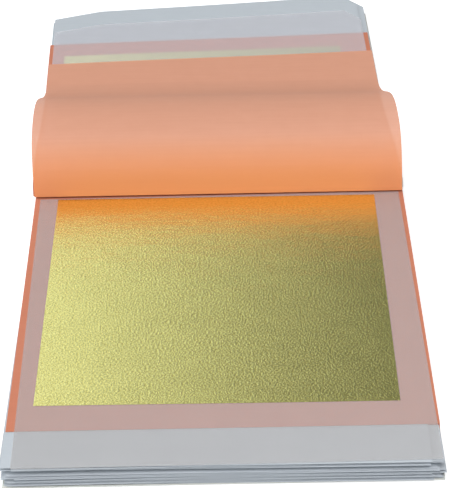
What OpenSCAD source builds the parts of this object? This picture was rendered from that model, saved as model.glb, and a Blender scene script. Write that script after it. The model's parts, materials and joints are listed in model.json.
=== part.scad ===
// Booklet of transfer gold leaf, lying open.
// X runs along the crease, +Y away from the reader, +Z up.
// The origin is on the table, below the middle of the crease.

/* [Pages] */
// Width of a rouge tissue page along the crease
page_w = 93.2; // [70:0.1:120]
// Length of a page from the crease to its fore-edge
page_l = 89.6; // [80:0.1:110]
// Thickness of a page
page_t = 0.08; // [0.06:0.01:0.1]
// Depth of the bound margin behind the crease
margin_l = 8.6; // [7:0.1:12]
// Air between two sheets that lie flat
sheet_gap = 0.045; // [0.03:0.005:0.06]

/* [Transfers] */
// Inset of a transfer tissue from each side of its page
tissue_inset = 1.2; // [1:0.1:4]
// Length of a transfer tissue
tissue_l = 100.2; // [95:0.1:110]
// Thickness of a transfer tissue
tissue_t = 0.08; // [0.06:0.01:0.1]
// Side of the square gold leaf
leaf_side = 80; // [70:0.1:81]
// Thickness of the gold leaf
leaf_t = 0.03; // [0.02:0.005:0.05]
// Gap from the crease to the spine edge of a transfer
spine_gap = 0.9; // [0.7:0.1:2]
// Inset of the gold leaf from the spine edge of its transfer
leaf_inset = 0.8; // [0.5:0.1:3]
// Largest sideways stray of a loose transfer
stray = 1.1; // [0:0.1:1.5]
// Largest turn of a loose transfer
stray_turn = 0.5; // [0:0.1:0.7]

/* [Covers] */
// Thickness of the card covers
cover_t = 0.4; // [0.35:0.01:0.5]
// Length of a cover from the crease to its fore-edge
cover_l = 101; // [95:0.5:112]
// Border of a cover past each side of the pages
cover_border = 0.2; // [0.2:0.1:12]

/* [Binding] */
// Diameter of the binding thread
thread_d = 0.24; // [0.2:0.01:0.28]
// Clearance round the thread in its holes
thread_clear = 0.05; // [0.04:0.01:0.08]
// Distance between neighbouring stitch holes
stitch_pitch = 22; // [16:0.5:26]
// Distance of the stitches behind the crease
stitch_y = 4.3; // [3:0.1:6]
// Thickness of the spine tape
tape_t = 0.12; // [0.1:0.01:0.2]
// Distance of the tape's front edge behind the crease
tape_y = 1.5; // [1:0.1:2.5]

/* [Turned half] */
// Air between the turned sheets, which lie loosely
loft = 0.1; // [0.1:0.01:0.2]
// Sideways stray of the turned half
turned_stray = 0.8; // [0:0.1:1.2]
// Clearance of the turned cover above the spine tape
turn_clear = 0.35; // [0.3:0.05:0.6]
// Air below the free end of the turned cover
lie_gap = 0.1; // [0.05:0.05:0.5]
// Distance of the turned half's crest behind the spine tape
crest_over = 1; // [0.5:0.1:3]
// Slope of the turned half where it leaves its crest
crest_slope = 4; // [2:0.5:8]
// Distance behind the crease at which the turned half has come down to the table
land_y = 62; // [50:1:80]
// Steps that the folds of the turned pages stand in front of each other
fold_step = 0.2; // [0.16:0.01:0.25]
// Steps that the folds of the turned pages rise
fold_rise = 0.18; // [0.17:0.01:0.2]
// Step from the fold of the bulging page to the fold below it
bulge_step = 0.45; // [0.4:0.05:0.6]
// Rise of the lowest fold above the open gold leaf
fold_clear = 0.3; // [0.25:0.05:0.4]
// Distance of the bulging page's fold in front of the crease
fold_front = 0.9; // [0.7:0.05:1]
// First lean of the bulging page, measured from level on the far side
lean_1 = 76; // [74:1:80]
// Second lean of the bulging page
lean_2 = 50; // [46:1:54]
// Third lean of the bulging page
lean_3 = 12; // [8:1:16]
// Fourth lean of the bulging page
lean_4 = -5; // [-9:1:-2]

/* [Hidden] */
// Pages are numbered from the front cover, and the booklet is open after page 6.
first_near = 7;
last_page = 26;
// The transfers that slide out and the pages that lie among them have their own nodes.
last_slide = 10;
last_own_page = 12;
// The bulging page has flat facets. A strip begins at each of these and at the fold.
facet_n = 12;
strip_from = [0, 2, 5, 9, facet_n];
strip_n = len(strip_from) - 1;
hole_d = thread_d + 2 * thread_clear;
hole_cut = 0.2;
stitch_n = 4;
crease_gap = 0.2;
strip_gap = 0.06;
pitch = page_t + tissue_t + leaf_t + 2 * sheet_gap;
far_pitch = page_t + tissue_t + leaf_t + 2 * loft;
tissue_w = page_w - 2 * tissue_inset;
cover_w = page_w + 2 * cover_border;
card = [0.93, 0.93, 0.91];
rouge = [0.91, 0.62, 0.50];
white = [0.84, 0.87, 0.88];
gilt = [0.86, 0.78, 0.36];
thread_white = [0.95, 0.94, 0.90];

// Two digits of a page number
function two(i) = i < 10 ? str("0", i) : str(i);

// Undersides of the sheets in the near half
function page_z(i) = cover_t + sheet_gap + (last_page - i) * pitch;
function tissue_z(i) = page_z(i + 1) + page_t + sheet_gap;
function leaf_z(i) = tissue_z(i) + tissue_t;
// Undersides of the stubs of the turned pages, the last one being the front cover's
function stub_z(i) = page_z(first_near) + (first_near - i) * (page_t + sheet_gap);
thread_top_z = stub_z(0) + cover_t;
tape_z = thread_top_z + thread_d + thread_clear;

// Stray of each loose transfer and of the leaf on it. Unlike steps of angle scatter them,
// and the open one has its own.
x_step = 137;
turn_step = 97;
leaf_x_step = 83;
leaf_turn_step = 61;
leaf_stray = 0.8;
leaf_turn = 0.4;
open_x = -0.2;
open_turn = 0.46;
open_leaf_x = -1.2;
open_leaf_turn = -0.38;
function stray_x(i) = i == 6 ? open_x : stray * sin(i * x_step);
function stray_a(i) = i == 6 ? open_turn : stray_turn * sin(i * turn_step);
function leaf_a(i) = i == 6 ? open_leaf_turn : leaf_turn * sin(i * leaf_turn_step);
function leaf_off(i) = leaf_stray * sin(i * leaf_x_step);
function leaf_x(i) = i == 6 ? open_leaf_x : stray_x(i) - leaf_off(i);

// The fold of page 6, which is also the hinge of the turned half
hinge_y = -fold_front;
hinge_z = leaf_z(6) + leaf_t + fold_clear;
function fold_y(i) = hinge_y + bulge_step + (5 - i) * fold_step;
function fold_z(i) = hinge_z + (6 - i) * fold_rise;

// Points along a curve from a start to an end, with a handle at each
function curve(a, b, c, d, n) = [for (k = [0:n]) let (t = k / n)
    a * pow(1 - t, 3) + 3 * b * t * pow(1 - t, 2) + 3 * c * t * t * (1 - t) + d * pow(t, 3)];
function heading(a) = [cos(a), sin(a)];
function unit(v) = v / norm(v);
function tangent(pts, k) = unit(pts[min(k + 1, len(pts) - 1)] - pts[max(k - 1, 0)]);
function normal(pts, k) = let (t = tangent(pts, k)) [-t[1], t[0]];
function run(pts, k = 0) = k >= len(pts) - 1 ? 0 : norm(pts[k + 1] - pts[k]) + run(pts, k + 1);
// A path that ends in a level run, so that its whole length is l
function to_length(pts, l) = concat(pts, [pts[len(pts) - 1] + heading(0) * (l - run(pts))]);

// The ramp of the turned cover, from its crest behind the tape down to the table
ramp_n = 20;
crest_hold = 16;
land_hold = 20;
crest = [margin_l + crest_over, tape_z + tape_t + turn_clear + cover_t / 2];
landing = [land_y, lie_gap + cover_t / 2];
ramp = curve(crest, crest + heading(-crest_slope) * crest_hold,
    landing - heading(0) * land_hold, landing, ramp_n);
ramp_up = [for (k = [0:ramp_n]) k == 0 ? heading(90 - crest_slope)
    : k == ramp_n ? heading(90) : normal(ramp, k)];
function page_level(i) = cover_t / 2 + loft + page_t / 2 + (i - 1) * far_pitch;

// A sheet's middle line: from its fold over to the ramp, and down at its own level
arch_n = 12;
function turned(start, lean, lift, reach, level) = let (
    over = [for (k = [0:ramp_n]) ramp[k] + ramp_up[k] * level])
    concat(
        curve(start, start + heading(lean) * lift,
            over[0] - heading(-crest_slope) * reach, over[0], arch_n),
        [for (k = [1:ramp_n]) over[k]]);
page_lean = 88;
page_lift = 1.2;
lift_step = 0.32;
page_reach = 4;
reach_step = 0.6;
function page_curve(i) = turned([fold_y(i), fold_z(i)], page_lean, page_lift + i * lift_step,
    page_reach + i * reach_step, page_level(i));
cover_lean = 60;
cover_lift = 0.4;
cover_fold = [0.7, 0.3];
cover_curve = turned([fold_y(1), fold_z(1)] + cover_fold, cover_lean, cover_lift, page_reach, 0);

// The same path, moved sideways by d
function beside(pts, d) = [for (k = [0:len(pts) - 1]) pts[k] + normal(pts, k) * d];
function back(pts) = [for (k = [len(pts) - 1:-1:0]) pts[k]];
// The part of a path from the length a to the length b
function point_at(pts, s, k = 0) = let (d = norm(pts[k + 1] - pts[k]))
    s <= d || k == len(pts) - 2 ? pts[k] + unit(pts[k + 1] - pts[k]) * s
        : point_at(pts, s - d, k + 1);
function cut_path(pts, a, b) = concat([point_at(pts, a)],
    [for (k = [1:len(pts) - 2]) let (s = run_to(pts, k)) if (s > a + 0.2 && s < b - 0.2) pts[k]],
    [point_at(pts, b)]);
function run_to(pts, k) = k == 0 ? 0 : norm(pts[k] - pts[k - 1]) + run_to(pts, k - 1);

// A sheet of thickness t along a middle line, w wide and centred on x
module bent_sheet(pts, w, t, x = 0) {
    translate([x - w / 2, 0, 0])
        rotate([90, 0, 90])
            linear_extrude(height = w)
                polygon(concat(beside(pts, t / 2), back(beside(pts, -t / 2))));
}

module stitch_holes(z, t) {
    for (k = [0:stitch_n - 1])
        translate([(k - (stitch_n - 1) / 2) * stitch_pitch, stitch_y, z - hole_cut])
            cylinder(d = hole_d, h = t + 2 * hole_cut, $fn = 24);
}

// A page of the near half, flat and held in the binding
module near_page(i) {
    color(rouge)
        difference() {
            translate([-page_w / 2, -page_l, page_z(i)])
                cube([page_w, page_l + margin_l, page_t]);
            stitch_holes(page_z(i), page_t);
        }
}

// A loose transfer tissue of the near half
module near_tissue(i) {
    color(white)
        translate([stray_x(i), -spine_gap, tissue_z(i)])
            rotate([0, 0, stray_a(i)])
                translate([-tissue_w / 2, -tissue_l - stray_a(i) * stray_a(i), 0])
                    cube([tissue_w, tissue_l, tissue_t]);
}

// The gold leaf on a transfer of the near half
module near_leaf(i) {
    color(gilt)
        translate([leaf_x(i), -spine_gap - leaf_inset - leaf_side / 2, leaf_z(i)])
            rotate([0, 0, leaf_a(i)])
                translate([-leaf_side / 2, -leaf_side / 2, 0])
                    cube([leaf_side, leaf_side, leaf_t]);
}

// A turned page between the cover and the bulging page
module turned_page(i) {
    color(rouge)
        bent_sheet(to_length(page_curve(i), page_l), page_w, page_t, -turned_stray);
}

// Where the spine edge of a turned transfer lies along its page
last_turned_start = 1.4;
turned_start_from = 6;
function turned_start(i) = i == 5 ? last_turned_start : turned_start_from + i;
leaf_lift = page_t / 2 + loft + leaf_t / 2;
tissue_lift = leaf_lift + (leaf_t + tissue_t) / 2;
function turned_path(i, lift, a, l) =
    cut_path(beside(to_length(page_curve(i), page_l + tissue_l), lift), a, a + l);

// A turned transfer, with its gold leaf on its underside
module turned_tissue(i) {
    color(white)
        bent_sheet(turned_path(i, tissue_lift, turned_start(i), tissue_l),
            tissue_w, tissue_t, stray_x(i) - turned_stray);
}

module turned_leaf(i) {
    color(gilt)
        bent_sheet(turned_path(i, leaf_lift, turned_start(i) + leaf_inset, leaf_side),
            leaf_side, leaf_t, stray_x(i) - turned_stray - leaf_off(i));
}

// The bulging page is a chain of bent strips, hinged to each other along creases
facet_l = page_l / facet_n;
strip_end = page_level(5) + tissue_lift + tissue_t / 2 + loft + page_t / 2;
leans = [lean_1, lean_2, lean_3, lean_4];
// How steeply each of the next facets falls, against the steepest
falls = [0.62, 0.9, 1, 0.98, 0.8, 0.42];
function chain(a, k) = k == 0 ? [hinge_y, hinge_z] : chain(a, k - 1) + facet_l * heading(a[k - 1]);
need = chain(leans, 4)[1] - landing[1] - strip_end;
function drop(d) = facet_l * [for (f = falls) sin(d * f)] * [for (f = falls) 1];
function steepness(d, n) = n == 0 ? d : steepness(d * need / drop(d), n - 1);
first_guess = 30;
guesses = 12;
fall = steepness(first_guess, guesses);
// The last two facets lie on the pack, with a slight dip between them
dip = 0.5;
facet_leans = concat(leans, [for (f = falls) -fall * f], [-dip, dip]);

module page_strip(i) {
    creases = [for (k = [strip_from[i - 1]:strip_from[i]]) chain(facet_leans, k)];
    color(rouge)
        bent_sheet(cut_path(creases, strip_gap / 2, run(creases) - strip_gap / 2),
            page_w, page_t);
}

// The back cover, with a slot below for the thread between the middle holes
module back_cover() {
    color(card)
        difference() {
            translate([-cover_w / 2, -cover_l, 0])
                cube([cover_w, cover_l + margin_l, cover_t]);
            stitch_holes(0, cover_t);
            translate([-stitch_pitch / 2, stitch_y - hole_d / 2, -hole_cut])
                cube([stitch_pitch, hole_d, hole_cut + hole_d]);
        }
}

module front_cover() {
    color(card)
        bent_sheet(to_length(cover_curve, cover_l), cover_w, cover_t);
}

module front_cover_stub() {
    color(card)
        difference() {
            translate([-cover_w / 2, crease_gap, stub_z(0)])
                cube([cover_w, margin_l - crease_gap, cover_t]);
            stitch_holes(stub_z(0), cover_t);
        }
}

module turned_page_stubs() {
    for (i = [1:6])
        color(rouge)
            difference() {
                translate([-page_w / 2, crease_gap, stub_z(i)])
                    cube([page_w, margin_l - crease_gap, page_t]);
                stitch_holes(stub_z(i), page_t);
            }
}

// One thread, up and down through the four holes
module binding_thread() {
    leg_z = thread_clear;
    top_z = thread_top_z + thread_d / 2;
    color(thread_white)
        union() {
            for (k = [0:stitch_n - 1])
                translate([(k - (stitch_n - 1) / 2) * stitch_pitch, stitch_y, leg_z])
                    cylinder(d = thread_d, h = top_z - leg_z, $fn = 24);
            for (k = [-1, 0, 1])
                translate([(k - 0.5) * stitch_pitch, stitch_y, k == 0 ? leg_z + thread_d / 2 : top_z])
                    rotate([0, 90, 0])
                        cylinder(d = thread_d, h = stitch_pitch, $fn = 24);
        }
}

// Tape over the stitches and down the spine
module binding_tape() {
    color(card)
        union() {
            translate([-cover_w / 2, tape_y, tape_z])
                cube([cover_w, margin_l + sheet_gap + tape_t - tape_y, tape_t]);
            translate([-cover_w / 2, margin_l + sheet_gap, thread_clear])
                cube([cover_w, tape_t, tape_z + tape_t - thread_clear]);
        }
}

back_cover();
front_cover();
front_cover_stub();
turned_page_stubs();
binding_thread();
binding_tape();
for (i = [1:strip_n])
    page_strip(i);
for (i = [1:5])
    turned_page(i);
for (i = [first_near:last_own_page])
    near_page(i);
for (i = [1:5])
    turned_tissue(i);
for (i = [1:5])
    turned_leaf(i);
for (i = [6:last_slide])
    near_tissue(i);
for (i = [6:last_slide])
    near_leaf(i);
for (i = [last_own_page + 1:last_page]) near_page(i);  // rouge_pages_13_to_26
for (i = [last_slide + 1:last_page - 1]) near_tissue(i);  // transfer_tissues_11_to_25
for (i = [last_slide + 1:last_page - 1]) near_leaf(i);  // gold_leaves_11_to_25
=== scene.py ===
"""Booklet of transfer gold leaf, lying open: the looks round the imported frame.

The sheets and the camera's place are in millimetres, materials, floor and lamp in metres, as
Blender has them. Angles are in degrees.
"""

import json
import logging
import math
from dataclasses import dataclass, field
from enum import Enum
from typing import Callable

import bpy
import numpy as np
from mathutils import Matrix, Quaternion, Vector


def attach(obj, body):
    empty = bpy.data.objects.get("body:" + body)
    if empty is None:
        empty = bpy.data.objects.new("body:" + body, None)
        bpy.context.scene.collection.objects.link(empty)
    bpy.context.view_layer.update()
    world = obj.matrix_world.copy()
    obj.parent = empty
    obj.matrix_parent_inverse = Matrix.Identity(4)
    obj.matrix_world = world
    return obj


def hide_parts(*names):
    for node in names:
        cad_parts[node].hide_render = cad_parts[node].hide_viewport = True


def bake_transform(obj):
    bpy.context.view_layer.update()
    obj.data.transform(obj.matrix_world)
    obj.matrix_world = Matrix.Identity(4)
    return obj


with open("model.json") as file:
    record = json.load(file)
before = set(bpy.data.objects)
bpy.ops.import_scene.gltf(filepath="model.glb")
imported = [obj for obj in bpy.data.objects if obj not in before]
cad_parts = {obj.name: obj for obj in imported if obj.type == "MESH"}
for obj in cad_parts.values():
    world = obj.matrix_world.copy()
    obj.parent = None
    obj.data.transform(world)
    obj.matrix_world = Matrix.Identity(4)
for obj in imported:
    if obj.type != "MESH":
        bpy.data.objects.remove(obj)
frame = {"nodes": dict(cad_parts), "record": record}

LOG = logging.getLogger("booklet")
MM = 0.001
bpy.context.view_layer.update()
SMOOTH_DEGREES = 40
Surface = Callable[[np.ndarray, np.ndarray], np.ndarray]
Span = tuple[float, float]
Triple = tuple[float, float, float]


class Half(Enum):
    """The two rigid halves of the open booklet."""

    NEAR = "near_half"
    TURNED = "turned_half"


class Slot(Enum):
    """The record's material slots that the sheets use."""

    ROUGE = "rouge_tissue"
    WHITE = "transfer_tissue"
    GOLD = "gold_leaf"
    CARD = "card"


@dataclass(frozen=True)
class Sizes:
    """Sizes of the sheets, as the part has them."""

    page_w: float = 93.2
    page_l: float = 89.6
    page_t: float = 0.08
    margin_l: float = 8.6
    sheet_gap: float = 0.045
    tissue_w: float = 90.8
    tissue_l: float = 100.2
    tissue_t: float = 0.08
    leaf_side: float = 80.0
    leaf_t: float = 0.03
    cover_w: float = 93.6
    cover_l: float = 101.0
    cover_t: float = 0.4
    loft: float = 0.1
    last_page: int = 26

    @property
    def pitch(self) -> float:
        """Rise from one near page to the next."""
        return self.page_t + self.tissue_t + self.leaf_t + 2 * self.sheet_gap

    @property
    def far_pitch(self) -> float:
        """Rise from one turned page to the next."""
        return self.page_t + self.tissue_t + self.leaf_t + 2 * self.loft

    def page_z(self, i: int) -> float:
        """Underside of near page i."""
        return self.cover_t + self.sheet_gap + (self.last_page - i) * self.pitch

    def tissue_z(self, i: int) -> float:
        """Underside of near transfer tissue i."""
        return self.page_z(i + 1) + self.page_t + self.sheet_gap

    def leaf_z(self, i: int) -> float:
        """Underside of near gold leaf i."""
        return self.tissue_z(i) + self.tissue_t


SIZES = Sizes()


@dataclass(frozen=True)
class Stray:
    """How the loose sheets lie askew, by fixed irregular amounts."""

    tissue_shift: float = 1.1
    tissue_step: float = 137
    turn_step: float = 97
    leaf_shift: float = 0.8
    leaf_step: float = 83
    leaf_turn: float = 0.4
    leaf_turn_step: float = 61

    @staticmethod
    def scatter(i: int, step: float) -> float:
        """A fixed irregular number between -1 and 1 for sheet i."""
        return math.sin(math.radians(i * step))

    def tissue_x(self, i: int) -> float:
        """Sideways stray of transfer tissue i."""
        return self.tissue_shift * self.scatter(i, self.tissue_step)

    def tissue_angle(self, i: int, most: float) -> float:
        """Turn of transfer tissue i, by no more than the given angle."""
        return most * self.scatter(i, self.turn_step)

    def leaf_x(self, i: int) -> float:
        """Sideways stray of gold leaf i, which goes with its tissue."""
        return self.tissue_x(i) - self.leaf_shift * self.scatter(i, self.leaf_step)

    def leaf_angle(self, i: int) -> float:
        """Turn of gold leaf i."""
        return self.leaf_turn * self.scatter(i, self.leaf_turn_step)


STRAY = Stray()


# Finishes


class Nodes:
    """A node tree with a short way to add nodes."""

    def __init__(self, tree: bpy.types.NodeTree) -> None:
        """Keeps the tree and its way to join two sockets.

        Args:
            tree: The node tree.
        """
        self.tree = tree
        self.join = tree.links.new

    def add(self, kind: str, values: dict[str | int, object] | None = None,
            **settings: object) -> bpy.types.Node:
        """Adds one node.

        Args:
            kind: Its type.
            values: Default values of its inputs, by their name or place.
            settings: Its properties, which are set before the inputs.

        Returns:
            The node.
        """
        node = self.tree.nodes.new(kind)
        for name, value in settings.items():
            setattr(node, name, value)
        for socket, value in (values or {}).items():
            node.inputs[socket].default_value = value
        return node

    def noise(self, place: bpy.types.NodeSocket, scale: Triple, detail: float,
              rough: float = 0.5) -> bpy.types.NodeSocket:
        """Adds a noise whose grain is stretched along the axes.

        Args:
            place: The coordinates.
            scale: Its scale along X, Y and Z.
            detail: Its detail.
            rough: Its roughness.

        Returns:
            The noise's value.
        """
        stretch = self.add("ShaderNodeMapping", {"Scale": scale})
        self.join(place, stretch.inputs["Vector"])
        noise = self.add("ShaderNodeTexNoise",
                         {"Scale": 1, "Detail": detail, "Roughness": rough})
        self.join(stretch.outputs["Vector"], noise.inputs["Vector"])
        return noise.outputs["Fac"]

    def bump(self, height: bpy.types.NodeSocket, strength: float, distance: float,
             under: bpy.types.NodeSocket | None = None) -> bpy.types.NodeSocket:
        """Adds a bump.

        Args:
            height: Its height.
            strength: Its strength.
            distance: Its depth in metres.
            under: The normal that it starts from.

        Returns:
            The bumped normal.
        """
        bump = self.add("ShaderNodeBump", {"Strength": strength, "Distance": distance})
        self.join(height, bump.inputs["Height"])
        if under:
            self.join(under, bump.inputs["Normal"])
        return bump.outputs["Normal"]


class PaperGrain:
    """Fibre lines and cloudy formation of thin tissue, as one shader group."""

    fibre_scale: Triple = (60, 1500, 1500)
    fibre_detail: float = 3
    cloud_scale: float = 260
    cloud_detail: float = 5
    sockets = (
        ("Vector", "INPUT", "NodeSocketVector", None),
        ("Colour", "INPUT", "NodeSocketColor", (0.8, 0.8, 0.8, 1)),
        ("Deep Colour", "INPUT", "NodeSocketColor", (0.6, 0.6, 0.6, 1)),
        ("Lines", "INPUT", "NodeSocketFloat", 0.3),
        ("Clouds", "INPUT", "NodeSocketFloat", 0.3),
        ("Colour", "OUTPUT", "NodeSocketColor", None),
        ("Height", "OUTPUT", "NodeSocketFloat", None),
    )

    def __init__(self) -> None:
        """Builds the group once."""
        self.group = bpy.data.node_groups.new("paper_grain", "ShaderNodeTree")
        for name, side, kind, default in self.sockets:
            socket = self.group.interface.new_socket(name=name, in_out=side, socket_type=kind)
            if default is not None:
                socket.default_value = default
        nodes = Nodes(self.group)
        come = nodes.add("NodeGroupInput")
        go = nodes.add("NodeGroupOutput")
        fibres = nodes.noise(come.outputs["Vector"], self.fibre_scale, self.fibre_detail)
        clouds = nodes.add("ShaderNodeTexNoise",
                           {"Scale": self.cloud_scale, "Detail": self.cloud_detail})
        nodes.join(come.outputs["Vector"], clouds.inputs["Vector"])
        fibre_part = nodes.add("ShaderNodeMath", operation="MULTIPLY")
        nodes.join(fibres, fibre_part.inputs[0])
        nodes.join(come.outputs["Lines"], fibre_part.inputs[1])
        both = nodes.add("ShaderNodeMath", operation="MULTIPLY_ADD", use_clamp=True)
        nodes.join(clouds.outputs["Fac"], both.inputs[0])
        nodes.join(come.outputs["Clouds"], both.inputs[1])
        nodes.join(fibre_part.outputs[0], both.inputs[2])
        mix = nodes.add("ShaderNodeMix", data_type="RGBA")
        nodes.join(both.outputs[0], mix.inputs["Factor"])
        nodes.join(come.outputs["Colour"], mix.inputs["A"])
        nodes.join(come.outputs["Deep Colour"], mix.inputs["B"])
        nodes.join(mix.outputs["Result"], go.inputs["Colour"])
        nodes.join(both.outputs[0], go.inputs["Height"])


GRAIN = PaperGrain()


@dataclass(frozen=True)
class Finish:
    """A look whose material is made once."""

    name: str

    def material(self) -> bpy.types.Material:
        """Makes the material, or returns the one already made.

        Returns:
            The material.
        """
        title = f"finish_{self.name}"
        made = bpy.data.materials.get(title)
        if made is None:
            made = bpy.data.materials.new(title)
            made.use_nodes = True
            nodes = Nodes(made.node_tree)
            place = nodes.add("ShaderNodeTexCoord").outputs["Object"]
            self.paint(nodes, place, made.node_tree.nodes["Principled BSDF"])
        return made

    def paint(self, nodes: Nodes, place: bpy.types.NodeSocket, shader: bpy.types.Node) -> None:
        """Builds the look.

        Args:
            nodes: The material's nodes.
            place: Object coordinates.
            shader: The material's shader.
        """
        raise NotImplementedError


@dataclass(frozen=True)
class PaperFinish(Finish):
    """Thin paper with fibres, either opaque or letting what lies below show.

    Its colour may take on painted bounce light towards the fold, between two places along Y: the
    orange that the gold leaf throws back onto the page.
    """

    colour: Triple
    deep: Triple
    lines: float = 0.35
    clouds: float = 0.3
    roughness: float = 0.7
    specular: float = 0.2
    cover: float = 1.0
    bump: float = 0.15
    bump_depth: float = 0.00005
    painted_bounce_colour: Triple | None = None
    painted_bounce_from: float = 0.007
    painted_bounce_to: float = -0.004

    def painted_bounce(self, nodes: Nodes, place: bpy.types.NodeSocket,
                 colour: bpy.types.NodeSocket) -> bpy.types.NodeSocket:
        """Paints bounce light from the gold leaf into a colour towards the fold.

        Args:
            nodes: The material's nodes.
            place: Object coordinates, of which Y counts.
            colour: The colour away from the fold.

        Returns:
            The deepened colour.
        """
        split = nodes.add("ShaderNodeSeparateXYZ")
        nodes.join(place, split.inputs[0])
        near = nodes.add("ShaderNodeMapRange",
                         {"From Min": self.painted_bounce_from, "From Max": self.painted_bounce_to},
                         interpolation_type="SMOOTHSTEP")
        nodes.join(split.outputs["Y"], near.inputs["Value"])
        tint = nodes.add("ShaderNodeMix", {"B": (*self.painted_bounce_colour, 1)}, data_type="RGBA")
        nodes.join(near.outputs["Result"], tint.inputs["Factor"])
        nodes.join(colour, tint.inputs["A"])
        return tint.outputs["Result"]

    def paint(self, nodes: Nodes, place: bpy.types.NodeSocket, shader: bpy.types.Node) -> None:
        """Builds the look.

        Args:
            nodes: The material's nodes.
            place: Object coordinates.
            shader: The material's shader.
        """
        grain = nodes.add("ShaderNodeGroup",
                          {"Colour": (*self.colour, 1), "Deep Colour": (*self.deep, 1),
                           "Lines": self.lines, "Clouds": self.clouds},
                          node_tree=GRAIN.group)
        nodes.join(place, grain.inputs["Vector"])
        colour = grain.outputs["Colour"]
        # Painted bounce light: the orange that the gold leaf throws back onto the page near the
        # fold.
        if self.painted_bounce_colour:
            colour = self.painted_bounce(nodes, place, colour)
        nodes.join(colour, shader.inputs["Base Color"])
        normal = nodes.bump(grain.outputs["Height"], self.bump, self.bump_depth)
        nodes.join(normal, shader.inputs["Normal"])
        shader.inputs["Roughness"].default_value = self.roughness
        shader.inputs["Specular IOR Level"].default_value = self.specular
        shader.inputs["Alpha"].default_value = self.cover


@dataclass(frozen=True)
class GoldFinish(Finish):
    """Beaten gold leaf, mirror bright and finely crinkled."""

    name: str = Slot.GOLD.value
    bright: Triple = (1.0, 0.93, 0.37)
    dark: Triple = (0.82, 0.72, 0.22)
    roughness: float = 0.10
    crinkle_scale: Triple = (1800, 2800, 2000)
    crinkle_detail: float = 4
    crinkle_rough: float = 0.6
    crinkle_bump: float = 1.0
    crinkle_depth: float = 0.00008
    dark_below: float = 0.36
    bright_above: float = 0.56
    ripple_scale: Triple = (45, 190, 100)
    ripple_detail: float = 3
    ripple_bump: float = 0.5
    ripple_depth: float = 0.0003

    def paint(self, nodes: Nodes, place: bpy.types.NodeSocket, shader: bpy.types.Node) -> None:
        """Builds the look.

        Args:
            nodes: The material's nodes.
            place: Object coordinates.
            shader: The material's shader.
        """
        shader.inputs["Metallic"].default_value = 1
        shader.inputs["Roughness"].default_value = self.roughness
        crinkle = nodes.noise(place, self.crinkle_scale, self.crinkle_detail, self.crinkle_rough)
        ripple = nodes.noise(place, self.ripple_scale, self.ripple_detail)
        tone = nodes.add("ShaderNodeMapRange",
                         {"From Min": self.dark_below, "From Max": self.bright_above})
        nodes.join(crinkle, tone.inputs["Value"])
        mix = nodes.add("ShaderNodeMix", {"A": (*self.dark, 1), "B": (*self.bright, 1)},
                        data_type="RGBA")
        nodes.join(tone.outputs["Result"], mix.inputs["Factor"])
        nodes.join(mix.outputs["Result"], shader.inputs["Base Color"])
        wide = nodes.bump(ripple, self.ripple_bump, self.ripple_depth)
        fine = nodes.bump(crinkle, self.crinkle_bump, self.crinkle_depth, wide)
        nodes.join(fine, shader.inputs["Normal"])


ROUGE = PaperFinish("rouge_tissue", (0.69, 0.25, 0.15), (0.54, 0.17, 0.10))
# Page 6's rouge tissue is a lighter copy of the rouge: painted light for the light the thin page
# lets through and catches from the front, with painted bounce light near the fold.
ROUGE_TOP_LIT = PaperFinish("rouge_tissue_top_lit", (0.93, 0.47, 0.32), (0.80, 0.37, 0.24), cover=0.76,
                        painted_bounce_colour=(1.0, 0.35, 0.12))
# The transfer tissue comes as lit and shaded copies of one material: the plain tone is darkened,
# painted shade on all the other tissues, and the top and far tones are lightened, painted light
# on the two open tissues.
WHITE = PaperFinish("transfer_tissue", (0.60, 0.63, 0.67), (0.49, 0.52, 0.57))
WHITE_TOP_LIT = PaperFinish(
    "transfer_tissue_top_lit", (0.70, 0.67, 0.66), (0.61, 0.57, 0.57), cover=0.30)
WHITE_FAR_LIT = PaperFinish(
    "transfer_tissue_far_lit", (0.86, 0.84, 0.88), (0.78, 0.76, 0.80), cover=0.30)
CARD = PaperFinish("white_card", (0.74, 0.74, 0.71), (0.62, 0.62, 0.58), lines=0.1, clouds=0.5)
TAPE = PaperFinish("spine_tape", (0.70, 0.70, 0.67), (0.55, 0.55, 0.52), lines=0.6, clouds=0.3)
THREAD = PaperFinish("thread", (0.80, 0.78, 0.72), (0.5, 0.48, 0.42), lines=0.9, clouds=0.2)
GOLD = GoldFinish()


# Sheets


def deselect() -> None:
    """Clears the selection, which the frame's import leaves full."""
    bpy.ops.object.select_all(action="DESELECT")


def laid_sheet(name: str, surface: Surface, sides: Span, ends: Span, thickness: float,
               columns: int, rows: int) -> bpy.types.Object:
    """Makes one sheet of paper or leaf: a grid laid on a surface and given its thickness.

    Args:
        name: The piece's name.
        surface: Gives points for positions across and along the sheet.
        sides: The two side edges, from the sheet's middle line.
        ends: The two ends, from the fold or the sheet's middle.
        thickness: The sheet's thickness.
        columns: Faces across.
        rows: Faces along.

    Returns:
        The finished object.
    """
    deselect()
    bpy.ops.mesh.primitive_grid_add(x_subdivisions=columns, y_subdivisions=rows, size=1)
    sheet = bpy.context.active_object
    sheet.name = name
    flat = np.empty(len(sheet.data.vertices) * 3)
    sheet.data.vertices.foreach_get("co", flat)
    flat = flat.reshape(-1, 3)
    across = sides[0] + (flat[:, 0] + 0.5) * (sides[1] - sides[0])
    along = ends[0] + (flat[:, 1] + 0.5) * (ends[1] - ends[0])
    sheet.data.vertices.foreach_set("co", (surface(across, along) * MM).ravel())
    solid = sheet.modifiers.new("thickness", "SOLIDIFY")
    solid.thickness = thickness * MM
    solid.offset = 0
    bpy.ops.object.modifier_apply(modifier=solid.name)
    bpy.ops.object.shade_smooth_by_angle(angle=math.radians(SMOOTH_DEGREES))
    return sheet


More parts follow.
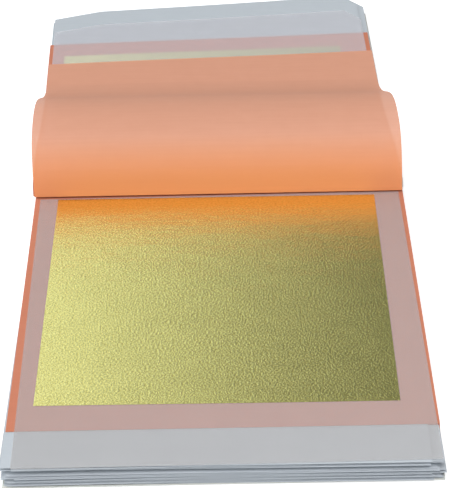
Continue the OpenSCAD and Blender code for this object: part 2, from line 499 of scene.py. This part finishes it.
def joined(name: str, sheets: list[bpy.types.Object]) -> bpy.types.Object:
    """Joins sheets into one piece.

    Args:
        name: The piece's name.
        sheets: The sheets, of which the first stays.

    Returns:
        The joined object.
    """
    deselect()
    for sheet in sheets:
        sheet.select_set(True)
    bpy.context.view_layer.objects.active = sheets[0]
    bpy.ops.object.join()
    sheets[0].name = name
    return sheets[0]


def dress(piece: bpy.types.Object, finish: Finish, node: str) -> None:
    """Gives a piece its finish and hides the CAD node that it replaces.

    Args:
        piece: The piece.
        finish: Its finish.
        node: The CAD node that it replaces.
    """
    piece.data.materials.clear()
    piece.data.materials.append(finish.material())
    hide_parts(node)
    LOG.info("%s: %d faces", piece.name, len(piece.data.polygons))


def finish_piece(piece: bpy.types.Object, finish: Finish, body: str,
                 node: str) -> None:
    """Dresses a piece that rides on one body.

    Args:
        piece: The piece.
        finish: Its finish.
        body: The body that it rides on.
        node: The CAD node that it replaces.
    """
    dress(piece, finish, node)
    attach(piece, body)


def middled(width: float) -> Span:
    """Side edges of a sheet from its middle line."""
    return -width / 2, width / 2


def turned_over(width: float) -> Span:
    """Side edges of a sheet that runs towards the near end, so that its upper face stays up."""
    return width / 2, -width / 2


# Near half


@dataclass
class NearHalf:
    """The open block: pages 7 to 26 with the transfers between them.

    Its upper sheets are single pieces and the rest are stacks.
    """

    sizes: Sizes = SIZES
    single_pages: range = range(7, 13)
    stacked_pages: range = range(13, 27)
    single_transfers: range = range(6, 11)
    stacked_transfers: range = range(11, 26)
    open_transfer: int = 6
    open_tissue_x: float = 0.05
    open_tissue_turn: float = 0.42
    open_leaf_x: float = -1.0
    open_leaf_turn: float = -0.3
    tissue_turn: float = 0.5
    spine_gap: float = 0.9
    leaf_inset: float = 0.8
    droop_from: float = 88.0
    droop_over: float = 13.0
    top_droop: float = 0.12
    side_rise: float = 0.55
    side_reach: float = 46.0
    low_droop: float = 0.15
    drawn_back: float = 2.2
    drawn_sheets: int = 2
    drawn_from: float = 50.0
    drawn_over: float = 50.0
    wave_height: float = 0.05
    wave_x: float = 17.0
    wave_y: float = 31.0
    wave_start: float = 20.0
    body: str = Half.NEAR.value

    def droop(self, i: int, level: float, x: np.ndarray, y: np.ndarray) -> np.ndarray:
        """How far transfer i hangs at its free end.

        Args:
            i: The transfer's number.
            level: Height of its middle over the table.
            x: Places across it.
            y: Places along it.

        Returns:
            The fall in millimetres.
        """
        t = np.clip((-y - self.droop_from) / self.droop_over, 0, 1) ** 2
        if i in self.single_transfers:
            return t * self.top_droop * (1 - self.side_rise * (x / self.side_reach) ** 2)
        return t * self.low_droop * (level - self.sizes.cover_t)

    def wave(self, x: np.ndarray, y: np.ndarray) -> np.ndarray:
        """Gentle unevenness that all sheets of the block share.

        Args:
            x: Places across.
            y: Places along.

        Returns:
            The rise.
        """
        swell = np.sin(x / self.wave_x + y / self.wave_y)
        return self.wave_height * swell * np.clip(-y / self.wave_start, 0, 1)

    def page(self, i: int) -> bpy.types.Object:
        """Makes page i with the margin behind the crease.

        Args:
            i: The page's number.

        Returns:
            The sheet.
        """
        size = self.sizes
        level = size.page_z(i) + size.page_t / 2

        def surface(across: np.ndarray, along: np.ndarray) -> np.ndarray:
            """Points of the page.

            Args:
                across: Places across it.
                along: Places along it.

            Returns:
                The points.
            """
            return np.stack([across, -along, level + self.wave(across, -along)], 1)

        return laid_sheet(f"page_{i:02d}", surface, turned_over(size.page_w),
                          (-size.margin_l, size.page_l), size.page_t, columns=16, rows=20)

    def tissue(self, i: int) -> bpy.types.Object:
        """Makes transfer tissue i.

        Args:
            i: The transfer's number.

        Returns:
            The sheet.
        """
        size = self.sizes
        level = size.tissue_z(i) + size.tissue_t / 2
        shift, turn = STRAY.tissue_x(i), STRAY.tissue_angle(i, self.tissue_turn)
        if i == self.open_transfer:
            shift, turn = self.open_tissue_x, self.open_tissue_turn
        drawn = self.drawn_back if i in self.stacked_transfers[:self.drawn_sheets] else 0.0
        cos, sin = math.cos(math.radians(turn)), math.sin(math.radians(turn))

        def surface(across: np.ndarray, along: np.ndarray) -> np.ndarray:
            """Points of the tissue.

            Args:
                across: Places across it.
                along: Places along it.

            Returns:
                The points.
            """
            x = shift + across * cos + along * sin
            back = drawn * np.clip((along - self.drawn_from) / self.drawn_over, 0, 1)
            y = -self.spine_gap - (along - back) * cos + across * sin
            z = level + self.wave(x, y) - self.droop(i, level, x, y)
            return np.stack([x, y, z], 1)

        return laid_sheet(f"tissue_{i:02d}", surface, turned_over(size.tissue_w),
                          (0, size.tissue_l), size.tissue_t, columns=24, rows=44)

    def leaf(self, i: int) -> bpy.types.Object:
        """Makes gold leaf i.

        Args:
            i: The transfer's number.

        Returns:
            The sheet.
        """
        size = self.sizes
        level = size.leaf_z(i) + size.leaf_t / 2
        shift, turn = STRAY.leaf_x(i), STRAY.leaf_angle(i)
        if i == self.open_transfer:
            shift, turn = self.open_leaf_x, self.open_leaf_turn
        cos, sin = math.cos(math.radians(turn)), math.sin(math.radians(turn))
        middle = -self.spine_gap - self.leaf_inset - size.leaf_side / 2

        def surface(across: np.ndarray, along: np.ndarray) -> np.ndarray:
            """Points of the leaf.

            Args:
                across: Places across it.
                along: Places along it.

            Returns:
                The points.
            """
            x = shift + across * cos + along * sin
            y = middle - along * cos + across * sin
            return np.stack([x, y, level + self.wave(x, y)], 1)

        return laid_sheet(f"leaf_{i:02d}", surface, turned_over(size.leaf_side),
                          middled(size.leaf_side), size.leaf_t, columns=16, rows=20)

    def build(self) -> None:
        """Builds and dresses the block."""
        for i in self.single_pages:
            finish_piece(self.page(i), ROUGE, self.body, f"rouge_page_{i:02d}")
        for i in self.single_transfers:
            rider = f"transfer_{i:02d}"
            # The open tissue takes the lighter copy, painted light; the others take the darkened
            # one, painted shade.
            look = WHITE_TOP_LIT if i == self.open_transfer else WHITE
            finish_piece(self.tissue(i), look, rider, f"transfer_tissue_{i:02d}")
            finish_piece(self.leaf(i), GOLD, rider, f"gold_leaf_{i:02d}")
        stack = joined("pages_13_to_26", [self.page(i) for i in self.stacked_pages])
        finish_piece(stack, ROUGE, self.body, "rouge_pages_13_to_26")
        stack = joined("tissues_11_to_25", [self.tissue(i) for i in self.stacked_transfers])
        finish_piece(stack, WHITE, self.body, "transfer_tissues_11_to_25")
        stack = joined("leaves_11_to_25", [self.leaf(i) for i in self.stacked_transfers])
        finish_piece(stack, GOLD, self.body, "gold_leaves_11_to_25")


# Lines and curves


def heading(degrees: float) -> np.ndarray:
    """Unit vector in the Y and Z plane at an angle over +Y."""
    return np.array([math.cos(math.radians(degrees)), math.sin(math.radians(degrees))])


LEVEL = heading(0)


def bezier(start: np.ndarray, leave: np.ndarray, arrive: np.ndarray, end: np.ndarray,
           steps: int) -> np.ndarray:
    """Makes points along a cubic curve.

    Args:
        start: Its first point.
        leave: The handle of its first point.
        arrive: The handle of its last point.
        end: Its last point.
        steps: How many steps it has.

    Returns:
        The points.
    """
    t = np.linspace(0, 1, steps + 1)[:, None]
    handles = 3 * leave * t * (1 - t) ** 2 + 3 * arrive * t * t * (1 - t)
    return start * (1 - t) ** 3 + handles + end * t ** 3


def normals(points: np.ndarray) -> np.ndarray:
    """Unit normals of a line of points, on its upper side.

    Args:
        points: The points, each with its Y and its Z.

    Returns:
        A normal for each point.
    """
    tangent = np.gradient(points, axis=0)
    tangent /= np.hypot(*tangent.T)[:, None]
    return np.stack([-tangent[:, 1], tangent[:, 0]], 1)


class Profile:
    """A middle line in the Y and Z plane, measured along its length."""

    def __init__(self, points: np.ndarray) -> None:
        """Keeps the points, their lengths and their normals.

        Args:
            points: The line's points, each with its Y and its Z.
        """
        step = np.hypot(*np.diff(points, axis=0).T)
        self.points = points
        self.length = np.concatenate([[0], np.cumsum(step)])
        self.normal = normals(points)

    def at(self, along: np.ndarray | float,
           lift: float = 0.0) -> tuple[np.ndarray, np.ndarray]:
        """Finds places along the line, lifted off it.

        Args:
            along: Lengths from the line's start.
            lift: Distance over the line.

        Returns:
            Their Y and their Z.
        """
        line = self.points + self.normal * lift
        y = np.interp(along, self.length, line[:, 0])
        z = np.interp(along, self.length, line[:, 1])
        return y, z


# Turned half


@dataclass
class TurnedHalf:
    """The front cover and pages 1 to 5 with their transfers, turned over."""

    sizes: Sizes = SIZES
    last: int = 5
    crest_over: float = 1.0
    crest_slope: float = 4.0
    crest_hold: float = 16.0
    land_y: float = 62.0
    land_hold: float = 20.0
    run_from: float = 2.0
    run_to: float = 130.0
    run_points: int = 60
    ramp_points: int = 60
    arch_points: int = 40
    lie_gap: float = 0.1
    turn_clear: float = 0.35
    tape_top: float = 7.45
    fold_front: float = 0.9
    bulge_step: float = 0.45
    fold_step: float = 0.2
    fold_rise: float = 0.18
    fold_clear: float = 0.3
    page_lean: float = 88.0
    page_lift: float = 1.2
    lift_step: float = 0.32
    page_reach: float = 4.0
    reach_step: float = 0.6
    cover_fold: Span = (0.7, 0.3)
    cover_lean: float = 60.0
    cover_lift: float = 0.4
    side: float = -0.55
    skew: float = 0.043
    tissue_skew: float = 0.072
    drift: float = -1.7
    tissue_turn: float = 0.35
    transfer_from: float = 6.0
    top_from: float = 1.4
    top_tissue_x: float = -0.1
    top_leaf_x: float = -2.1
    leaf_inset: float = 0.8
    leaf_gap: float = 0.02
    left_cut: Span = (3.4, 13.5)
    right_cut: Span = (5.5, 4.5)
    cut_over: float = 10.0
    settle_height: float = 0.06
    settle_x: float = 15.0
    settle_y: float = 23.0
    settle_from: float = 15.0
    settle_over: float = 30.0
    body: str = Half.TURNED.value
    ramp: np.ndarray = field(init=False)
    ramp_up: np.ndarray = field(init=False)

    def __post_init__(self) -> None:
        """Works out the ramp that the turned sheets lie along."""
        size = self.sizes
        crest = np.array([size.margin_l + self.crest_over,
                          self.tape_top + self.turn_clear + size.cover_t / 2])
        landing = np.array([self.land_y, self.lie_gap + size.cover_t / 2])
        self.ramp = bezier(crest, crest + heading(-self.crest_slope) * self.crest_hold,
                           landing - LEVEL * self.land_hold, landing, self.ramp_points)
        self.ramp_up = normals(self.ramp)

    def settle(self, x: np.ndarray, y: np.ndarray) -> np.ndarray:
        """Slight unevenness that all turned sheets share where they lie.

        Args:
            x: Places across.
            y: Places along.

        Returns:
            The rise.
        """
        part = np.clip((y - self.settle_from) / self.settle_over, 0, 1)
        return self.settle_height * np.sin(x / self.settle_x + y / self.settle_y) * part

    def level(self, i: int) -> float:
        """Distance of page i over the cover's middle line."""
        size = self.sizes
        return size.cover_t / 2 + size.loft + size.page_t / 2 + (i - 1) * size.far_pitch

    def fold(self, i: int) -> np.ndarray:
        """Fold of page i.

        Args:
            i: The page's number.

        Returns:
            Its Y and its Z.
        """
        size = self.sizes
        above = self.last + 1
        y = -self.fold_front + self.bulge_step + (self.last - i) * self.fold_step
        z = size.leaf_z(above) + size.leaf_t + self.fold_clear + (above - i) * self.fold_rise
        return np.array([y, z])

    def profile(self, start: np.ndarray, lean: float, lift: float, reach: float,
                level: float) -> Profile:
        """Works out the middle line of a turned sheet.

        Args:
            start: Its fold.
            lean: Its heading at the fold.
            lift: Length of the handle at the fold.
            reach: Length of the handle at the crest.
            level: Its distance over the cover's middle line.

        Returns:
            The line, with a level run after the ramp.
        """
        over = self.ramp + self.ramp_up * level
        arch = bezier(start, start + heading(lean) * lift,
                      over[0] - heading(-self.crest_slope) * reach, over[0], self.arch_points)
        steps = np.linspace(self.run_from, self.run_to, self.run_points)[:, None]
        return Profile(np.concatenate([arch, over[1:], over[-1] + LEVEL * steps]))

    def page_profile(self, i: int) -> Profile:
        """Middle line of turned page i."""
        return self.profile(self.fold(i), self.page_lean, self.page_lift + i * self.lift_step,
                            self.page_reach + i * self.reach_step, self.level(i))

    def surface(self, line: Profile, lift: float, shift: float, turn: float = 0.0,
                skew: float | None = None) -> Surface:
        """Surface of a turned sheet, whose far edge runs askew as the photo shows.

        Args:
            line: The middle line that it follows.
            lift: Its distance over that line.
            shift: Its sideways place.
            turn: Its own turn.
            skew: How far its far edge runs askew, or None for a page's.

        Returns:
            The surface.
        """
        full = self.sizes.page_l
        spin = math.tan(math.radians(turn))
        askew = self.skew if skew is None else skew

        def place(across: np.ndarray, along: np.ndarray) -> np.ndarray:
            """Points of the sheet.

            Args:
                across: Places across it.
                along: Places along it.

            Returns:
                The points.
            """
            part = np.clip(along / full, 0, 2)
            x = shift + across + self.drift * part - spin * along
            y, z = line.at(along + (askew + spin) * across * part, lift)
            return np.stack([x, y, z + self.settle(x, y)], 1)

        return place

    def cut_back(self, whole: Surface, end: float) -> Surface:
        """Surface of a sheet whose two far corners are cut off, as the photo shows.

        Args:
            whole: The surface of the whole sheet.
            end: Length at its far edge.

        Returns:
            The surface with the corners drawn back.
        """
        half = self.sizes.tissue_w / 2
        left_deep, left_wide = self.left_cut
        right_deep, right_wide = self.right_cut

        def place(across: np.ndarray, along: np.ndarray) -> np.ndarray:
            """Points of the sheet.

            Args:
                across: Places across it.
                along: Places along it.

            Returns:
                The points.
            """
            back = left_deep * np.clip((left_wide - half - across) / left_wide, 0, 1)
            back += right_deep * np.clip((across + right_wide - half) / right_wide, 0, 1)
            part = np.clip((along - end + self.cut_over) / self.cut_over, 0, 1)
            return whole(across, along - back * part)

        return place

    def cover(self) -> bpy.types.Object:
        """Makes the turned front cover.

        Returns:
            The sheet.
        """
        size = self.sizes
        line = self.profile(self.fold(1) + np.array(self.cover_fold), self.cover_lean,
                            self.cover_lift, self.page_reach, 0)
        return laid_sheet("front_cover_card", self.surface(line, 0, 0), middled(size.cover_w),
                          (0, size.cover_l), size.cover_t, columns=12, rows=90)

    def page(self, i: int) -> bpy.types.Object:
        """Makes turned page i.

        Args:
            i: The page's number.

        Returns:
            The sheet.
        """
        size = self.sizes
        lies = self.surface(self.page_profile(i), 0, self.side)
        return laid_sheet(f"page_{i:02d}", lies, middled(size.page_w), (0, size.page_l),
                          size.page_t, columns=20, rows=110)

    @property
    def over_page(self) -> float:
        """Distance of a leaf's middle over its page's."""
        size = self.sizes
        return size.page_t / 2 + size.loft + size.leaf_t / 2

    def start_of(self, i: int) -> tuple[float, float]:
        """Finds how turned transfer i lies.

        Args:
            i: The transfer's number.

        Returns:
            The length along the page at which it starts, and its turn.
        """
        if i == self.last:
            return self.top_from, 0.0
        return self.transfer_from + i, STRAY.tissue_angle(i, self.tissue_turn)

    def leaf(self, i: int) -> bpy.types.Object:
        """Makes turned gold leaf i, which lies face down.

        Args:
            i: The transfer's number.

        Returns:
            The sheet.
        """
        size = self.sizes
        start, turn = self.start_of(i)
        first = start + self.leaf_inset
        shift = self.top_leaf_x if i == self.last else STRAY.leaf_x(i)
        lies = self.surface(self.page_profile(i), self.over_page, self.side + shift, turn)
        return laid_sheet(f"leaf_{i:02d}", lies, middled(size.leaf_side),
                          (first, first + size.leaf_side), size.leaf_t, columns=16, rows=100)

    def tissue(self, i: int) -> bpy.types.Object:
        """Makes turned transfer tissue i.

        Args:
            i: The transfer's number.

        Returns:
            The sheet.
        """
        size = self.sizes
        start, turn = self.start_of(i)
        end = start + size.tissue_l
        shift = self.top_tissue_x if i == self.last else STRAY.tissue_x(i)
        over_leaf = self.over_page + (size.leaf_t + size.tissue_t) / 2 + self.leaf_gap
        whole = self.surface(self.page_profile(i), over_leaf, self.side + shift, turn,
                             self.tissue_skew)
        return laid_sheet(f"tissue_{i:02d}", self.cut_back(whole, end), middled(size.tissue_w),
                          (start, end), size.tissue_t, columns=20, rows=120)

    def build(self) -> None:
        """Builds and dresses the turned half."""
        finish_piece(self.cover(), CARD, self.body, "front_cover")
        for i in range(1, self.last + 1):
            # The top turned tissue takes the lighter copy, painted light; the others take the
            # darkened one, painted shade.
            look = WHITE_FAR_LIT if i == self.last else WHITE
            finish_piece(self.page(i), ROUGE, self.body, f"rouge_page_{i:02d}")
            finish_piece(self.leaf(i), GOLD, self.body, f"gold_leaf_{i:02d}")
            finish_piece(self.tissue(i), look, self.body, f"transfer_tissue_{i:02d}")


# Page 6


@dataclass
class BulgingPage:
    """Page 6, one curved sheet built in four parts, of which only the first rides on its strip
    of the frame.
    """

    sizes: Sizes = SIZES
    turned: TurnedHalf = field(default_factory=TurnedHalf)
    side: float = -0.2
    skew: float = 0.050
    drift: float = -1.6
    drawn_back: float = 1.2
    strip_from: tuple[int, ...] = (0, 2, 5, 9)
    leans: tuple[float, ...] = (76, 50, 12, -5, -18.3, -26.6, -29.5, -28.9, -23.6, -12.4,
                                -0.5, 0.5)
    curve_steps: int = 16
    tail: float = 6.0
    row: float = 0.75
    bend_over: float = 5.0
    lie_over: float = 0.12
    columns: int = 40

    def creases(self) -> np.ndarray:
        """Creases between the page's facets, from the fold that the frame gives.

        Returns:
            The creases, each with its Y and its Z.
        """
        joints = {j["name"]: j for j in frame["record"]["behaviour"]["joints"]}
        points = [np.array(joints["page_turn"]["pos_m"][1:]) / MM]
        facet = self.sizes.page_l / len(self.leans)
        for lean in self.leans:
            points.append(points[-1] + heading(lean) * facet)
        return np.array(points)

    def line(self) -> Profile:
        """The page's middle line, a smooth curve through the creases with a level tail.

        Returns:
            The line.
        """
        crease = self.creases()
        guide = np.concatenate([[2 * crease[0] - crease[1]], crease,
                                [2 * crease[-1] - crease[-2]]])
        points = []
        for k in range(1, len(guide) - 2):
            before, start, end, after = guide[k - 1:k + 3]
            square = 2 * before - 5 * start + 4 * end - after
            cube = 3 * start - 3 * end + after - before
            for t in np.linspace(0, 1, self.curve_steps, endpoint=False):
                straight = 2 * start + (end - before) * t
                points.append(0.5 * (straight + square * t * t + cube * t ** 3))
        points.append(crease[-1])
        points.append(crease[-1] + LEVEL * self.tail)
        return Profile(np.array(points))

    def surface(self, line: Profile, full: float) -> Surface:
        """Works out the page's surface, which comes to lie on the turned sheets.

        Args:
            line: Its middle line.
            full: Its length.

        Returns:
            The surface.
        """
        size = self.sizes
        bed = self.turned.page_profile(self.turned.last)
        bed_lift = size.page_t + size.loft + size.leaf_t + size.tissue_t + self.lie_over
        bed_y, bed_z = bed.at(bed.length, bed_lift)

        def place(across: np.ndarray, along: np.ndarray) -> np.ndarray:
            """Points of the page.

            Args:
                across: Places across it.
                along: Places along it.

            Returns:
                The points.
            """
            part = along / full
            x = self.side + across + self.drift * part
            y, z = line.at(np.clip(along * (1 + self.skew * across / full * part), 0, 2 * full))
            z = np.maximum(z, np.interp(y, bed_y, bed_z)) + self.turned.settle(x, y)
            return np.stack([x, y, z], 1)

        return place

    def build(self) -> None:
        """Builds the page in four parts that meet in the middle of a strip."""
        size = self.sizes
        line = self.line()
        full = line.length[-1] - self.tail
        place = self.surface(line, full)
        starts = [line.length[self.curve_steps * k] for k in self.strip_from]
        end = full - self.drawn_back
        middles = [(a + b) / 2 for a, b in zip(starts, starts[1:])]
        edges = [0.0] + middles + [end]
        bodies = [f"page_06_strip_{n:02d}" for n in range(1, len(starts) + 1)]
        for k, body in enumerate(bodies):
            rows = math.ceil((edges[k + 1] - edges[k]) / self.row)
            piece = laid_sheet(f"page_06_part_{k + 1:02d}", place, middled(size.page_w),
                               (edges[k], edges[k + 1]), size.page_t, self.columns, rows)
            dress(piece, ROUGE_TOP_LIT, f"rouge_{body}")
            if k == 0:
                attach(piece, body)
            else:
                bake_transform(piece)


# Binding


@dataclass
class Binding:
    """The back cover, stubs, thread and tape, which keep their CAD solids."""

    finishes: dict[str, PaperFinish] = field(default_factory=lambda: {
        "back_cover": CARD,
        "front_cover_stub": CARD,
        "turned_page_stubs": ROUGE,
        "binding_thread": THREAD,
        "binding_tape": TAPE,
    })

    def build(self) -> None:
        """Gives each carried-over node its finish."""
        for node, finish in self.finishes.items():
            mesh = frame["nodes"][node].data
            mesh.materials.clear()
            mesh.materials.append(finish.material())
            LOG.info("%s keeps its solid", node)


# Studio


@dataclass
class Studio:
    """Floor, light and the camera at the photograph's viewing angle."""

    eye: Triple = (1.506, -385.685, 266.132)
    aim: Triple = (1.23, -13.83, 0.0)
    roll: float = 1.145
    lens: float = 134.99
    sensor: float = 36
    clip_start: float = 0.01
    floor_side: float = 6.0
    floor_z: float = -0.0002
    floor_colour: Triple = (0.9, 0.9, 0.9)
    floor_rough: float = 0.9
    floor_glow: float = 0.5
    sky_colour: Triple = (0.93, 0.99, 1)
    sky_bright: float = 1.08
    sky_bright_to: float = -0.075
    sky_dim: float = 0.145
    sky_dim_from: float = 0.004
    lamp_at: Triple = (0.1, -0.42, 0.70)
    lamp_size: float = 0.5
    lamp_energy: float = 3.5

    def camera(self) -> None:
        """Sets the camera."""
        deselect()
        data = bpy.data.cameras.new("photo_camera")
        data.lens = self.lens
        data.sensor_width = self.sensor
        data.clip_start = self.clip_start
        camera = bpy.data.objects.new("photo_camera", data)
        bpy.context.collection.objects.link(camera)
        eye = Vector(self.eye) * MM
        look = Vector(self.aim) * MM - eye
        turn = look.to_track_quat("-Z", "Y")
        camera.rotation_mode = "QUATERNION"
        camera.rotation_quaternion = turn @ Quaternion((0, 0, 1), math.radians(-self.roll))
        camera.location = eye
        bpy.context.scene.camera = camera

    def floor(self) -> None:
        """Lays a plain pale floor that stays white to the camera."""
        deselect()
        bpy.ops.mesh.primitive_plane_add(size=self.floor_side, location=(0, 0, self.floor_z))
        floor = bpy.context.active_object
        floor.name = "floor"
        paint = bpy.data.materials.new("floor_white")
        paint.use_nodes = True
        nodes = Nodes(paint.node_tree)
        shader = paint.node_tree.nodes["Principled BSDF"]
        shader.inputs["Base Color"].default_value = (*self.floor_colour, 1)
        shader.inputs["Roughness"].default_value = self.floor_rough
        shader.inputs["Specular IOR Level"].default_value = 0.0
        shader.inputs["Emission Color"].default_value = (1, 1, 1, 1)
        path = nodes.add("ShaderNodeLightPath")
        seen = nodes.add("ShaderNodeMath", operation="MAXIMUM")
        nodes.join(path.outputs["Is Camera Ray"], seen.inputs[0])
        nodes.join(path.outputs["Is Transmission Ray"], seen.inputs[1])
        glow = nodes.add("ShaderNodeMath", {1: self.floor_glow}, operation="MULTIPLY")
        nodes.join(seen.outputs[0], glow.inputs[0])
        nodes.join(glow.outputs[0], shader.inputs["Emission Strength"])
        floor.data.materials.append(paint)

    def sky(self) -> None:
        """Sets a soft sky that is brighter on the left."""
        world = bpy.data.worlds.new("studio_sky")
        bpy.context.scene.world = world
        world.use_nodes = True
        nodes = Nodes(world.node_tree)
        back = world.node_tree.nodes["Background"]
        split = nodes.add("ShaderNodeSeparateXYZ")
        place = nodes.add("ShaderNodeTexCoord")
        nodes.join(place.outputs["Generated"], split.inputs[0])
        side = nodes.add("ShaderNodeMapRange",
                         {"From Min": self.sky_bright_to, "From Max": self.sky_dim_from,
                          "To Min": self.sky_bright, "To Max": self.sky_dim},
                         interpolation_type="SMOOTHSTEP")
        nodes.join(split.outputs["X"], side.inputs["Value"])
        nodes.join(side.outputs["Result"], back.inputs["Strength"])
        back.inputs["Color"].default_value = (*self.sky_colour, 1)

    def lamp(self) -> None:
        """Hangs one large soft lamp before and above the booklet."""
        data = bpy.data.lights.new("soft_lamp", "AREA")
        data.shape = "DISK"
        data.size = self.lamp_size
        data.energy = self.lamp_energy
        lamp = bpy.data.objects.new("soft_lamp", data)
        bpy.context.collection.objects.link(lamp)
        lamp.location = self.lamp_at
        lamp.rotation_mode = "QUATERNION"
        lamp.rotation_quaternion = (-lamp.location).to_track_quat("-Z", "Y")

    def build(self) -> None:
        """Sets up the whole studio."""
        self.camera()
        self.floor()
        self.sky()
        self.lamp()
        bpy.context.scene.view_settings.view_transform = "Standard"


def main() -> None:
    """Builds the booklet and the studio round it."""
    logging.basicConfig(level=logging.INFO)
    Studio().build()
    NearHalf().build()
    TurnedHalf().build()
    BulgingPage().build()
    Binding().build()


if __name__ == "__main__":
    main()
